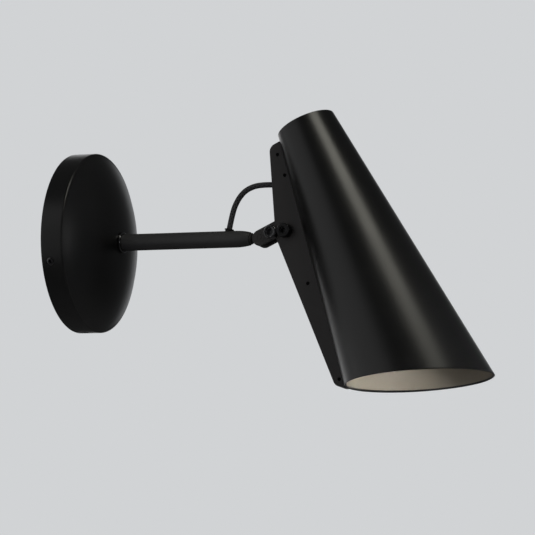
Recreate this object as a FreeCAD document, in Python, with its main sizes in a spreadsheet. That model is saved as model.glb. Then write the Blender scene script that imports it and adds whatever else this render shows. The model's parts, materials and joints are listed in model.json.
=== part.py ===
import FreeCAD, Part

import math
import os

import Sketcher
from FreeCAD import Vector

# A pivoting spotlight wall light: a round domed wall plate, a straight arm that
# turns about its own axis in a bush, and a long conical shade that tilts on a
# clamped eye joint at the arm's tip.  Millimetres.  +X leaves the wall, +Z is up,
# and the origin is the centre of the wall plate on the wall.
#
# Three frames are used.  "wall" is the row frame.  "arm" is turned about X by
# arm_turn.  "head" has its origin on the hinge pin, is turned with the arm and is
# then tilted by head_tilt: its -Z runs down the shade's axis and its +X leads
# from the hinge to that axis.

DIMENSIONS = {
    "Wall plate": [
        ("canopy_radius", 55.0, "outer radius of the domed cover"),
        ("canopy_rim", 14.4, "depth of its straight rim"),
        ("canopy_rise", 14.4, "rise of the dome above the rim"),
        ("canopy_wall", 1.2, "sheet of the cover"),
        ("canopy_edge", 1.3, "radius between rim and dome"),
        ("carrier_radius", 51.0, "outer radius of the mounting plate"),
        ("carrier_depth", 9.0, "height of the mounting plate's flange"),
        ("carrier_wall", 1.5, "sheet of the mounting plate"),
        ("cable_hole", 9.0, "radius of the hole for the house cable"),
        ("slot_spacing", 60.0, "between the wall screws"),
        ("slot_run", 12.0, "length of each wall screw slot"),
        ("slot_radius", 2.25, "half the width of a wall screw slot"),
        ("set_screw_x", 5.5, "set screws from the wall"),
        ("set_screw_radius", 2.0, "M4 set screws in the rim"),
    ],
    "Arm": [
        ("arm_radius", 5.1, "outer radius of the tube"),
        ("arm_wall", 1.1, "wall of the tube"),
        ("arm_start", 6.3, "inner end of the tube from the wall"),
        ("arm_tip", 114.4, "outer end of the tube from the wall"),
        ("nose_length", 9.5, "length of the drawn-in tip"),
        ("nose_radius", 4.15, "radius of the tip"),
        ("nose_curve", 40.0, "radius of the tip's outline"),
        ("arm_turn", -5.4, "turn of the arm about X as photographed, degrees"),
        ("bush_flange", 6.4, "radius of the bush's visible collar"),
        ("bush_body", 6.0, "radius of the bush in the cover"),
        ("collar_face", 30.2, "front of the bush's collar from the wall"),
        ("running_fit", 0.05, "radial clearance of turning fits"),
        ("fixed_fit", 0.02, "radial clearance of fixed fits"),
        ("face_gap", 0.05, "between faces that clamp or slide"),
    ],
    "Cable": [
        ("cable_radius", 1.7, "textile covered cable"),
        ("cable_exit_x", 99.1, "cable's line crosses the arm's axis here"),
        ("cable_exit_angle", 82.0, "its rise from the arm, degrees"),
        ("cable_exit_z", 6.4, "height of the grommet above the arm's axis"),
        ("grommet_wall", 0.75, "rubber round the cable"),
    ],
    "Hinge": [
        ("pivot_x", 121.8, "hinge pin from the wall"),
        ("eye_radius", 4.1, "round eye on the arm's stud"),
        ("eye_width", 5.1, "its width along the pin"),
        ("neck_radius", 2.15, "neck of the stud"),
        ("pin_radius", 1.5, "hinge pin"),
        ("cheek_plate", 2.0, "thickness of each clamp plate"),
        ("cheek_half", 4.9, "half the height of a clamp plate"),
        ("cheek_drop", 0.4, "its middle below the hinge pin"),
        ("clamp_x", 8.5, "clamp screw from the hinge pin, across the shade"),
        ("clamp_z", -1.4, "clamp screw from the hinge pin, along the shade"),
        ("clamp_radius", 2.0, "M4 clamp screw"),
        ("clamp_head", 4.1, "radius of its socket head"),
        ("clamp_head_height", 4.2, "height of its head"),
        ("anchor_x", 16.9, "anchor bolt from the hinge pin, across the shade"),
        ("anchor_z", -4.8, "anchor bolt from the hinge pin, along the shade"),
        ("anchor_radius", 2.0, "M4 anchor bolt"),
        ("anchor_head", 4.3, "radius of its round head"),
        ("anchor_head_height", 4.4, "height of its head"),
        ("tab_end", 20.3, "end of the clamp plates inside the spine"),
    ],
    "Shade": [
        ("head_tilt", 25.8, "tilt of the shade from straight down, degrees"),
        ("axis_x", 53.2, "shade's axis from the hinge pin"),
        ("shade_top", 50.7, "top edge above the hinge pin"),
        ("shade_length", 174.4, "length on the axis"),
        ("top_radius", 18.15, "outer radius at the top edge"),
        ("taper", 7.77, "half angle of the cone, degrees"),
        ("mouth_slope", 20.2, "slant of the mouth across the axis, degrees"),
        ("shade_wall", 1.0, "sheet of the shade"),
        ("seam_half", 3.55, "half the gap between the seam flanges"),
    ],
    "Spine": [
        ("spine_width", 11.7, "outer width of the folded spine"),
        ("spine_wall", 1.2, "sheet of the spine"),
        ("spine_top_x", 28.2, "back of the spine at its top"),
        ("spine_top_z", 47.4, "top of the spine above the hinge pin"),
        ("spine_apex_x", 9.8, "back of the spine beside the hinge pin"),
        ("spine_apex_z", -5.0, "height of that bend"),
        ("spine_foot_x", 7.7, "back of the spine at its foot"),
        ("spine_foot_z", -107.6, "foot of the spine"),
        ("spine_corner", 5.0, "radius of its top and bottom corners"),
        ("spine_screw", 1.1, "radius of the small side screws"),
        ("inlet_z", 26.1, "cable inlet above the hinge pin"),
        ("inlet_slope", -31.2, "slope of the cable at the inlet, degrees"),
    ],
    "Lampholder and lamp": [
        ("cap_recess", 3.0, "top plate below the shade's edge"),
        ("cap_sheet", 1.2, "sheet of the top plate"),
        ("nipple_radius", 5.0, "threaded tube that carries the holder"),
        ("nipple_bore", 3.6, "bore of that tube"),
        ("holder_radius", 13.6, "outer radius of the lampholder"),
        ("holder_wall", 2.2, "wall of the lampholder"),
        ("holder_split", 18.0, "joint between its cap and body"),
        ("holder_mouth", -6.0, "lower edge of the lampholder"),
        ("lamp_cap_radius", 6.8, "screw cap of the lamp"),
        ("lamp_cap_top", 13.0, "top of the screw cap's shell"),
        ("lamp_neck_z", -9.0, "where the glass leaves the cap"),
        ("globe_radius", 22.5, "glass globe"),
        ("globe_z", -38.5, "centre of the globe"),
        ("globe_wall", 1.0, "glass of the globe"),
    ],
}

doc = FreeCAD.newDocument("spotlight")
sheet = doc.addObject("Spreadsheet::Sheet", "sizes")


class Size:
    """A number together with the sheet expression that gives it."""

    def __init__(self, number, text=None):
        self.number = number
        self.text = repr(number) if text is None else text

    @staticmethod
    def of(value):
        return value if isinstance(value, Size) else Size(value)

    def join(self, other, sign, number):
        return Size(number, "(%s %s %s)" % (self.text, sign, Size.of(other).text))

    def __add__(self, other):
        return self.join(other, "+", self.number + Size.of(other).number)

    def __radd__(self, other):
        return Size.of(other) + self

    def __sub__(self, other):
        return self.join(other, "-", self.number - Size.of(other).number)

    def __rsub__(self, other):
        return Size.of(other) - self

    def __mul__(self, other):
        return self.join(other, "*", self.number * Size.of(other).number)

    def __rmul__(self, other):
        return Size.of(other) * self

    def __truediv__(self, other):
        return self.join(other, "/", self.number / Size.of(other).number)

    def __neg__(self):
        return Size(0) - self


def tan(angle):
    return Size(math.tan(math.radians(angle.number)), "tan(%s * 1deg)" % angle.text)


def fill_sheet():
    """Writes every dimension to the sheet and returns them by name."""
    found = {}
    row = 1
    for heading, lines in DIMENSIONS.items():
        sheet.set("A%d" % row, heading)
        row += 1
        for alias, number, meaning in lines:
            sheet.set("A%d" % row, alias)
            sheet.set("B%d" % row, repr(number))
            sheet.set("C%d" % row, meaning)
            sheet.setAlias("B%d" % row, alias)
            found[alias] = Size(number, "sizes." + alias)
            row += 1
    return found


D = fill_sheet()
doc.recompute()

TURN = "create(<<rotation>>; create(<<vector>>; 1; 0; 0); sizes.arm_turn)"
TILT = "create(<<rotation>>; create(<<vector>>; 0; -1; 0); sizes.head_tilt)"
FRAMES = {
    "wall": None,
    "arm": "create(<<placement>>; create(<<vector>>; 0; 0; 0); %s)" % TURN,
    "head": "create(<<placement>>; create(<<vector>>; sizes.pivot_x; 0; 0); %s * %s)" % (TURN, TILT),
}

PLANES = {"xz": "XZ_Plane", "xy": "XY_Plane", "yz": "YZ_Plane"}
pieces = []


# ---------------------------------------------------------------- drawing tools


def piece(label, frame):
    """An empty body that becomes one node."""
    body = doc.addObject("PartDesign::Body", label)
    body.Label = label
    if FRAMES[frame]:
        body.setExpression("Placement", FRAMES[frame])
    pieces.append(body)
    return body


def sketch(body, plane, shift=(0, 0, 0)):
    """A sketch on one of the body's own planes; shift is in the sketch's own axes."""
    drawing = body.newObject("Sketcher::SketchObject", "sketch")
    roles = {feature.Role: feature for feature in body.Origin.OriginFeatures}
    drawing.AttachmentSupport = [(roles[PLANES[plane]], "")]
    drawing.MapMode = "FlatFace"
    drawing.AttachmentOffset = FreeCAD.Placement(
        Vector(*[Size.of(value).number for value in shift]), FreeCAD.Rotation()
    )
    for axis, value in zip("xyz", shift):
        if isinstance(value, Size):
            drawing.setExpression(".AttachmentOffset.Base.%s" % axis, value.text)
    return drawing


def fix(drawing, kind, place, value):
    """One driving dimension of a sketch, bound to the sheet where it is a Size."""
    value = Size.of(value)
    number = drawing.addConstraint(Sketcher.Constraint(kind, *place, value.number))
    drawing.setExpression("Constraints[%d]" % number, value.text)


def outline(drawing, corners):
    """A closed outline through corners (x, y), or (x, y, radius) where an arc arrives.
    The arc turns anticlockwise when the radius is positive."""
    points = [(Size.of(c[0]), Size.of(c[1])) for c in corners]
    flat = [Vector(x.number, y.number, 0) for x, y in points]
    first = drawing.GeometryCount
    ends = []
    count = len(corners)
    for i in range(count):
        start, end = flat[i], flat[(i + 1) % count]
        bend = corners[(i + 1) % count][2:]
        if not bend:
            drawing.addGeometry(Part.LineSegment(start, end))
            ends.append((1, 2))
            continue
        radius = Size.of(bend[0]).number
        chord = end - start
        reach = math.sqrt(max(radius**2 - (chord.Length / 2) ** 2, 0.0))
        side = Vector(-chord.y, chord.x, 0).normalize()
        centre = (start + end) * 0.5 + side * (reach if radius > 0 else -reach)
        a, b = start - centre, end - centre
        angles = [math.atan2(a.y, a.x), math.atan2(b.y, b.x)]
        if radius < 0:
            angles.reverse()
        circle = Part.Circle(centre, Vector(0, 0, 1), abs(radius))
        drawing.addGeometry(Part.ArcOfCircle(circle, *angles))
        ends.append((1, 2) if radius > 0 else (2, 1))
    for i in range(count):
        after = (i + 1) % count
        drawing.addConstraint(
            Sketcher.Constraint("Coincident", first + i, ends[i][1], first + after, ends[after][0])
        )
    for i, (x, y) in enumerate(points):
        fix(drawing, "DistanceX", (-1, 1, first + i, ends[i][0]), x)
        fix(drawing, "DistanceY", (-1, 1, first + i, ends[i][0]), y)
        bend = corners[(i + 1) % count][2:]
        if bend:
            radius = Size.of(bend[0])
            fix(drawing, "Radius", (first + i,), radius if radius.number > 0 else -radius)


def circle(drawing, x, y, radius):
    centre = Vector(Size.of(x).number, Size.of(y).number, 0)
    number = drawing.addGeometry(Part.Circle(centre, Vector(0, 0, 1), Size.of(radius).number))
    fix(drawing, "DistanceX", (-1, 1, number, 3), x)
    fix(drawing, "DistanceY", (-1, 1, number, 3), y)
    fix(drawing, "Radius", (number,), radius)


def slot(drawing, x, y, run, radius):
    """A round-ended slot of overall length run along the sketch's x, centred on (x, y)."""
    half = Size.of(run) / 2 - radius
    outline(
        drawing,
        [
            (x - half, y - radius, radius),
            (x + half, y - radius),
            (x + half + radius, y, radius),
            (x + half, y + radius, radius),
            (x - half, y + radius),
            (x - half - radius, y, radius),
        ],
    )


def hexagon(drawing, across, x=0, y=0):
    """A hexagon of a given width across its flats."""
    corner = Size.of(across) / math.sqrt(3)
    turns = [(math.cos(math.radians(60 * i)), math.sin(math.radians(60 * i))) for i in range(6)]
    outline(drawing, [(x + corner * c, y + corner * s) for c, s in turns])


def finish(body, feature):
    body.Tip = feature
    doc.recompute()
    if not feature.isValid():
        raise RuntimeError("%s in %s failed: %s" % (feature.Name, body.Label, feature.getStatusString()))
    return feature


def revolve(body, drawing, axis, kind="PartDesign::Revolution"):
    feature = body.newObject(kind, "turned")
    feature.Profile = drawing
    feature.ReferenceAxis = (drawing, [axis])
    feature.Angle = 360
    return finish(body, feature)


def extrude(body, drawing, length, both=False, kind="PartDesign::Pad", back=False):
    feature = body.newObject(kind, "extruded")
    feature.Profile = drawing
    length = Size.of(length)
    feature.Length = length.number
    feature.setExpression("Length", length.text)
    if both:
        feature.SideType = "Symmetric"
    feature.Reversed = back
    return finish(body, feature)


def pocket(body, drawing, length, both=False, back=False):
    """A cut of stated depth; it has to take something away."""
    before = body.Shape.Volume
    feature = extrude(body, drawing, length, both, "PartDesign::Pocket", back)
    if not body.Shape.Volume < before - 1e-6:
        raise RuntimeError("a cut in %s removed nothing" % body.Label)
    return feature


def turned(label, frame, axis, corners, shift=(0, 0, 0)):
    """A turned piece.  Along x the corners are (x, radius); along y and z they are
    (radius, height)."""
    body = piece(label, frame)
    drawing = sketch(body, "xy" if axis == "y" else "xz", shift)
    outline(drawing, corners)
    revolve(body, drawing, "H_Axis" if axis == "x" else "V_Axis")
    return body


def ring(inner, outer, low, high):
    """Corners of a plain ring, low and high measured along its axis."""
    return [(inner, low), (outer, low), (outer, high), (inner, high)]


def ring_on_x(inner, outer, low, high):
    return [(low, inner), (high, inner), (high, outer), (low, outer)]


def drill(body, plane, holes, length, shift=(0, 0, 0), both=False, back=False):
    drawing = sketch(body, plane, shift)
    for x, y, radius in holes:
        circle(drawing, x, y, radius)
    return pocket(body, drawing, length, both, back)


def edges_along(shape, direction, places, reach=0.6):
    """Names of the straight edges along direction whose middle is near one of the places."""
    names = []
    for i, edge in enumerate(shape.Edges):
        if edge.Length < 1e-6 or abs(abs(edge.tangentAt(edge.FirstParameter).dot(direction)) - 1) > 1e-4:
            continue
        middle = edge.valueAt((edge.FirstParameter + edge.LastParameter) / 2)
        flat = middle - direction * middle.dot(direction)
        if any((flat - place).Length < reach for place in places):
            names.append("Edge%d" % (i + 1))
    return names


def fillet(body, names, radius):
    solid = body.Tip
    feature = body.newObject("PartDesign::Fillet", "rounded")
    feature.Base = (solid, names)
    radius = Size.of(radius)
    feature.Radius = radius.number
    feature.setExpression("Radius", radius.text)
    return finish(body, feature)


def block(label, frame, low, high):
    """A rectangular piece between two corners."""
    body = piece(label, frame)
    drawing = sketch(body, "xy", (0, 0, low[2]))
    x0, y0, x1, y1 = low[0], low[1], high[0], high[1]
    outline(drawing, [(x0, y0), (x1, y0), (x1, y1), (x0, y1)])
    extrude(body, drawing, Size.of(high[2]) - low[2])
    return body


def group(label, frame, members):
    """Identical fasteners that share one node; each member is
    (radius, height, place, direction) of a plain cylinder in the frame."""
    cylinders = []
    for radius, height, place, direction in members:
        cylinder = doc.addObject("Part::Cylinder", label + "_one")
        for name, value in (("Radius", radius), ("Height", height)):
            cylinder.setExpression(name, Size.of(value).text)
        cylinder.Placement = FreeCAD.Placement(
            Vector(), FreeCAD.Rotation(Vector(0, 0, 1), Vector(*direction))
        )
        for axis, value in zip("xyz", place):
            cylinder.setExpression(".Placement.Base.%s" % axis, Size.of(value).text)
        cylinders.append(cylinder)
    compound = doc.addObject("Part::Compound", label)
    compound.Label = label
    compound.Links = cylinders
    if FRAMES[frame]:
        compound.setExpression("Placement", FRAMES[frame])
    pieces.append(compound)
    doc.recompute()
    return compound


def cable(label, frame, points, radius):
    """A cable along straight runs joined by tangent arcs, each as large as its runs allow."""
    flat = [Vector(Size.of(x).number, 0, Size.of(z).number) for x, z in points]
    runs = [(b - a).Length for a, b in zip(flat, flat[1:])]
    edges = []
    last = flat[0]
    radii = []
    for i in range(1, len(flat) - 1):
        into = (flat[i] - flat[i - 1]).normalize()
        away = (flat[i + 1] - flat[i]).normalize()
        half = into.getAngle(away) / 2
        cut = 0.45 * min(runs[i - 1], runs[i])
        radii.append(cut / math.tan(half))
        inward = (away - into).normalize()
        centre = flat[i] + inward * (radii[-1] / math.cos(half))
        start, end = flat[i] - into * cut, flat[i] + away * cut
        middle = centre - inward * radii[-1]
        edges.append(Part.LineSegment(last, start).toShape())
        edges.append(Part.Arc(start, middle, end).toShape())
        last = end
    edges.append(Part.LineSegment(last, flat[-1]).toShape())
    path = Part.Wire(edges)
    ends = Part.Circle(flat[0], flat[1] - flat[0], Size.of(radius).number).toShape()
    tube = path.makePipeShell([Part.Wire([ends])], True, False)
    section = math.pi * Size.of(radius).number ** 2
    print(
        "%s: length %.2f, volume over section x length %.4f, bend radii %s"
        % (label, path.Length, tube.Volume / (section * path.Length), [round(r, 1) for r in radii])
    )
    feature = doc.addObject("Part::Feature", label)
    feature.Label = label
    feature.Shape = tube
    if FRAMES[frame]:
        feature.setExpression("Placement", FRAMES[frame])
    pieces.append(feature)
    doc.recompute()
    return feature


# ------------------------------------------------------------------- wall plate

canopy_crown = D["canopy_rim"] + D["canopy_rise"]
dome_edge = D["canopy_radius"] - D["canopy_edge"]
dome_radius = (dome_edge * dome_edge + D["canopy_rise"] * D["canopy_rise"]) / (D["canopy_rise"] * 2)
bush_hole = D["bush_body"] + D["face_gap"]
set_screw_angles = (15.0, 87.0, 231.0)


def dome(radius, depth=0):
    """Height from the wall of the dome at a radius, a sheet's depth below its skin."""
    sphere = dome_radius - depth
    drop = (sphere.number**2 - Size.of(radius).number ** 2) ** 0.5
    return Size(
        canopy_crown.number - dome_radius.number + drop,
        "(%s - %s + sqrt(%s ^ 2 - %s ^ 2))"
        % (canopy_crown.text, dome_radius.text, sphere.text, Size.of(radius).text),
    )


def make_canopy():
    wall = D["canopy_wall"]
    inner = D["canopy_radius"] - wall
    inner_edge = inner - D["canopy_edge"]
    body = turned(
        "wall_canopy",
        "wall",
        "x",
        [
            (0, inner),
            (0, D["canopy_radius"]),
            (dome(dome_edge) - D["canopy_edge"], D["canopy_radius"]),
            (dome(dome_edge), dome_edge, -D["canopy_edge"]),
            (dome(bush_hole), bush_hole, -dome_radius),
            (dome(bush_hole, wall), bush_hole),
            (dome(inner_edge, wall), inner_edge, dome_radius - wall),
            (dome(inner_edge, wall) - D["canopy_edge"], inner, D["canopy_edge"]),
        ],
    )
    for angle in set_screw_angles:
        spoke = sketch(body, "xz")
        spoke.AttachmentOffset = FreeCAD.Placement(
            Vector(), FreeCAD.Rotation(Vector(1, 0, 0), angle)
        )
        circle(spoke, D["set_screw_x"], 0, D["set_screw_radius"] + D["fixed_fit"])
        pocket(body, spoke, D["canopy_radius"] + 1, back=True)
    return body


make_canopy()

set_screws = []
for angle in set_screw_angles:
    outward = (0, -math.cos(math.radians(angle)), -math.sin(math.radians(angle)))
    seat = D["carrier_radius"] + D["face_gap"]
    set_screws.append(
        (
            D["set_screw_radius"],
            D["canopy_radius"] - seat - 0.3,
            (D["set_screw_x"], seat * outward[1], seat * outward[2]),
            outward,
        )
    )
group("canopy_set_screws", "wall", set_screws)


def make_carrier():
    """Dished mounting plate that is screwed to the wall."""
    wall = D["carrier_wall"]
    body = turned(
        "mounting_plate",
        "wall",
        "x",
        [
            (0, D["cable_hole"]),
            (0, D["carrier_radius"] - wall),
            (wall, D["carrier_radius"], -wall),
            (D["carrier_depth"], D["carrier_radius"]),
            (D["carrier_depth"], D["carrier_radius"] - wall),
            (wall, D["carrier_radius"] - wall),
            (wall, D["cable_hole"]),
        ],
    )
    for side in (-1, 1):
        drawing = sketch(body, "yz")
        slot(drawing, D["slot_spacing"] / 2 * side, Size(0), D["slot_run"], D["slot_radius"])
        pocket(body, drawing, wall * 2, both=True)
    drill(body, "yz", [(0, earth_z, earth_shank + D["fixed_fit"])], wall * 2, both=True)
    return body


earth_z = Size(26.0)
earth_shank = Size(1.95)
make_carrier()

plate_face = D["carrier_wall"]
turned(
    "earth_screw",
    "wall",
    "x",
    [(0.3, 0), (0.3, earth_shank), (2.3, earth_shank), (2.3, 3.6), (4.3, 3.6), (4.8, 3.0), (4.8, 0)],
    (0, earth_z, 0),
)
turned("earth_washer", "wall", "x", ring_on_x(2.05, 4.2, plate_face, 2.25), (0, earth_z, 0))

terminal_low, terminal_high = (1.5, -11.5, -35.0), (13.0, 11.5, -21.0)
terminal = block("terminal_block", "wall", terminal_low, terminal_high)
terminal_wells = [(pitch, -28.0, 2.0) for pitch in (-7.5, 0.0, 7.5)]
drill(terminal, "yz", terminal_wells, 6, (0, 0, 13.0))
group(
    "terminal_screws",
    "wall",
    [(1.8, 4.0, (7.2, pitch, z), (1, 0, 0)) for pitch, z, _ in terminal_wells],
)
cable("supply_leads", "wall", [(4.4, -1.9), (4.2, -8.0), (4.6, -14.2), (5.3, -20.7)], 1.5)

# --------------------------------------------------------------------- the arm

bush_bore = D["arm_radius"] + D["running_fit"]
bush_inner_end = Size(12.0)
collar_back = dome(D["bush_flange"]) + 0.15
dome_seat = dome(12.0, D["canopy_wall"]) - D["face_gap"]

turned(
    "swivel_bush",
    "wall",
    "x",
    [
        (bush_inner_end, bush_bore),
        (bush_inner_end, D["bush_body"]),
        (collar_back, D["bush_body"]),
        (collar_back, D["bush_flange"]),
        (D["collar_face"] - 0.6, D["bush_flange"]),
        (D["collar_face"], D["bush_flange"] - 0.6, -0.6),
        (D["collar_face"], bush_bore),
    ],
)
turned(
    "bush_washer",
    "wall",
    "x",
    ring_on_x(bush_hole, 12.0, dome_seat - 1.0, dome_seat),
)


def nut(label, frame, across, bore, low, thickness):
    """A hexagon nut on the X axis."""
    body = piece(label, frame)
    drawing = sketch(body, "yz", (0, 0, low))
    hexagon(drawing, across)
    circle(drawing, 0, 0, bore)
    extrude(body, drawing, thickness)
    return body


nut("bush_nut", "wall", 18.0, D["bush_body"] + D["fixed_fit"], dome_seat - 4.55, 3.5)
nut("arm_nut", "arm", 15.0, D["arm_radius"] + D["fixed_fit"], D["arm_start"] + 0.4, 3.9)
turned(
    "friction_washer",
    "arm",
    "x",
    ring_on_x(D["arm_radius"] + 0.1, 8.2, D["arm_start"] + 4.6, bush_inner_end - 0.1),
)

arm_bore = D["arm_radius"] - D["arm_wall"]
nose_bore = D["nose_radius"] - D["arm_wall"]
nose_start = D["arm_tip"] - D["nose_length"]
grommet_hole = D["cable_radius"] + D["grommet_wall"]


def tilted_circle(body, x, z, slope, radius, length):
    """A cut by a cylinder whose axis passes (x, z) in the XZ plane, slope degrees up from X."""
    tool = body.newObject("PartDesign::SubtractiveCylinder", "bored")
    for name, value in (("Radius", radius), ("Height", length)):
        tool.setExpression(name, Size.of(value).text)
    roles = {feature.Role: feature for feature in body.Origin.OriginFeatures}
    tool.AttachmentSupport = [(roles["XY_Plane"], "")]
    tool.MapMode = "FlatFace"
    tool.AttachmentOffset = FreeCAD.Placement(
        Vector(Size.of(x).number, 0, Size.of(z).number),
        FreeCAD.Rotation(Vector(0, 1, 0), 90 - Size.of(slope).number),
    )
    for axis, value in (("x", x), ("z", z)):
        tool.setExpression(".AttachmentOffset.Base.%s" % axis, Size.of(value).text)
    before = body.Shape.Volume
    finish(body, tool)
    if not body.Shape.Volume < before - 1e-6:
        raise RuntimeError("a bore in %s removed nothing" % body.Label)


def make_arm():
    radius = D["arm_radius"]
    nose = D["nose_radius"]
    body = turned(
        "arm_tube",
        "arm",
        "x",
        [
            (D["arm_start"], arm_bore),
            (D["arm_start"], radius),
            (nose_start, radius),
            (D["arm_tip"] - 0.8, nose, -D["nose_curve"]),
            (D["arm_tip"], nose - 0.8, -0.8),
            (D["arm_tip"], nose_bore),
            (nose_start, nose_bore),
            (nose_start - 1.5, arm_bore),
        ],
    )
    tilted_circle(body, D["cable_exit_x"], 0, D["cable_exit_angle"], grommet_hole + D["fixed_fit"], 9)
    return body


make_arm()


def make_grommet(label, frame, x, z, slope, low, lip, high):
    """Rubber sleeve round the cable, its axis slope degrees up from X through (x, z);
    low, lip and high are measured along that axis."""
    bore = D["cable_radius"] + D["face_gap"]
    body = piece(label, frame)
    drawing = sketch(body, "xz")
    drawing.AttachmentOffset = FreeCAD.Placement(
        Vector(Size.of(x).number, Size.of(z).number, 0),
        FreeCAD.Rotation(Vector(0, 0, 1), Size.of(slope).number - 90),
    )
    drawing.setExpression(".AttachmentOffset.Base.x", Size.of(x).text)
    drawing.setExpression(".AttachmentOffset.Base.y", Size.of(z).text)
    rim = grommet_hole + 0.5
    outline(
        drawing,
        [
            (bore, low),
            (grommet_hole, low),
            (grommet_hole, lip),
            (rim, lip),
            (rim, high - 0.5),
            (grommet_hole, high, 0.5),
            (bore, high),
        ],
    )
    revolve(body, drawing, "V_Axis")
    return body


exit_x, exit_z = D["cable_exit_x"], D["cable_exit_z"]
grommet_low = D["arm_radius"] - 1.0
make_grommet(
    "arm_grommet", "arm", exit_x, 0, D["cable_exit_angle"], grommet_low, D["arm_radius"] + 0.7, exit_z
)

STUD = piece("joint_stud", "arm")


def make_stud():
    """Shank fixed in the tube's tip, a neck, and a flat round eye for the hinge pin."""
    shank = nose_bore - D["fixed_fit"]
    collar = D["nose_radius"] - 0.7
    tip = D["arm_tip"] + D["face_gap"]
    drawing = sketch(STUD, "xz")
    outline(
        drawing,
        [
            (nose_start + 0.5, 0),
            (nose_start + 0.5, shank),
            (tip, shank),
            (tip, collar),
            (tip + 0.9, collar),
            (tip + 1.5, D["neck_radius"]),
            (D["pivot_x"] - D["eye_radius"] + 0.8, D["neck_radius"]),
            (D["pivot_x"] - D["eye_radius"] + 0.8, 0),
        ],
    )
    revolve(STUD, drawing, "H_Axis")
    drawing = sketch(STUD, "xz", (D["pivot_x"], 0, 0))
    circle(drawing, 0, 0, D["eye_radius"])
    extrude(STUD, drawing, D["eye_width"], both=True)
    pin_bore = (0, 0, D["pin_radius"] + D["running_fit"])
    drill(STUD, "xz", [pin_bore], D["eye_width"] + 1, (D["pivot_x"], 0, 0), both=True)


make_stud()

# ------------------------------------------------------------------ the cable

# In the arm's plane: out of the tube's top, over the hinge and into the spine.
LOOP_ROUTE = [
    (100.0, 6.45),
    (101.2, 13.5),
    (103.2, 21.2),
    (107.7, 28.3),
    (113.9, 31.9),
    (121.1, 32.9),
    (127.92, 32.62),
]
ARM_ROUTE = [(6.6, 0.0), (95.2, -2.0), (99.2, 0.8), (100.0, 6.4)]
HEAD_ROUTE = [(19.8, 26.66), (26.4, 22.66), (32.5, 20.9), (41.5, 21.6)]
cable("cable_in_arm", "arm", ARM_ROUTE, D["cable_radius"])
cable("cable_loop", "arm", LOOP_ROUTE, D["cable_radius"])
cable("cable_in_head", "head", HEAD_ROUTE, D["cable_radius"])

# ------------------------------------------------------------------- the hinge

plate_inner = D["eye_width"] / 2 + D["face_gap"]
plate_outer = plate_inner + D["cheek_plate"]
spine_half = D["spine_width"] / 2
pin_hole = D["pin_radius"] + D["fixed_fit"]
clamp_hole = D["clamp_radius"] + D["fixed_fit"] * 4
anchor_hole = D["anchor_radius"] + D["fixed_fit"] * 2
tab_start = D["spine_apex_x"] + 3.6
tab_low = D["anchor_z"] - 4.6


def make_clamp_plate(label, start):
    """Round-nosed plate beside the eye, with a tab inside the spine; start is the
    distance of its near face along the sketch's normal."""
    half = D["cheek_half"]
    low, high = -half - D["cheek_drop"], half - D["cheek_drop"]
    body = piece(label, "head")
    drawing = sketch(body, "xz", (0, 0, start))
    outline(
        drawing,
        [
            (0, low, half),
            (tab_start - 1.2, low),
            (tab_start, low - 1.2),
            (tab_start, tab_low),
            (D["tab_end"], tab_low),
            (D["tab_end"], high),
            (0, high),
            (-half, -D["cheek_drop"], half),
        ],
    )
    circle(drawing, 0, 0, pin_hole)
    circle(drawing, D["clamp_x"], D["clamp_z"], clamp_hole)
    circle(drawing, D["anchor_x"], D["anchor_z"], anchor_hole)
    extrude(body, drawing, D["cheek_plate"])


make_clamp_plate("clamp_plate_near", plate_inner)
make_clamp_plate("clamp_plate_far", -plate_outer)
turned("hinge_pin", "head", "y", ring(0, D["pin_radius"], -plate_outer, plate_outer))


def make_bolt(label, x, z, shank, head, head_height, seat, tail, dish, socket):
    """Socket-head bolt across the joint: head on the near side, a dished face and a
    hexagon socket of a given width."""
    face = seat + head_height
    body = turned(
        label,
        "head",
        "y",
        [
            (0, -(face - 0.8)),
            (dish, -(face - 0.8)),
            (dish, -face),
            (head - 0.5, -face),
            (head, -(face - 0.5), 0.5),
            (head, -seat),
            (shank, -seat),
            (shank, tail),
            (0, tail),
        ],
        (x, 0, z),
    )
    drawing = sketch(body, "xz", (0, 0, face - 0.8))
    hexagon(drawing, socket, x, z)
    pocket(body, drawing, head_height * 0.45)


def make_cross_nut(label, x, z, across, bore, seat, thickness):
    """Hexagon nut on the far side of the joint."""
    body = piece(label, "head")
    drawing = sketch(body, "xz", (0, 0, -(seat + thickness)))
    hexagon(drawing, across, x, z)
    circle(drawing, x, z, bore)
    extrude(body, drawing, thickness)


clamp_seat = plate_outer + D["face_gap"]
anchor_seat = spine_half + D["face_gap"]
make_bolt(
    "clamp_screw",
    D["clamp_x"],
    D["clamp_z"],
    D["clamp_radius"],
    D["clamp_head"],
    D["clamp_head_height"],
    clamp_seat,
    clamp_seat + 5.0,
    2.7,
    3.6,
)
make_cross_nut(
    "clamp_nut", D["clamp_x"], D["clamp_z"], 7.0, D["clamp_radius"] + D["fixed_fit"], clamp_seat, 4.0
)
make_bolt(
    "anchor_bolt",
    D["anchor_x"],
    D["anchor_z"],
    D["anchor_radius"],
    D["anchor_head"],
    D["anchor_head_height"],
    anchor_seat,
    anchor_seat + 4.0,
    2.3,
    3.0,
)
make_cross_nut(
    "anchor_nut", D["anchor_x"], D["anchor_z"], 7.0, D["anchor_radius"] + D["fixed_fit"], anchor_seat, 3.2
)
turned(
    "anchor_spacer",
    "head",
    "y",
    ring(anchor_hole, 3.4, -(plate_inner - D["face_gap"]), plate_inner - D["face_gap"]),
    (D["anchor_x"], 0, D["anchor_z"]),
)

# ------------------------------------------------------------- shade and spine

flare = tan(D["taper"])
mouth_z = D["shade_top"] - D["shade_length"]
flange_half = D["seam_half"] + D["shade_wall"]


def shade_radius(z):
    """Outer radius of the cone at a height above the hinge pin."""
    return D["top_radius"] + (D["shade_top"] - z) * flare


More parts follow.
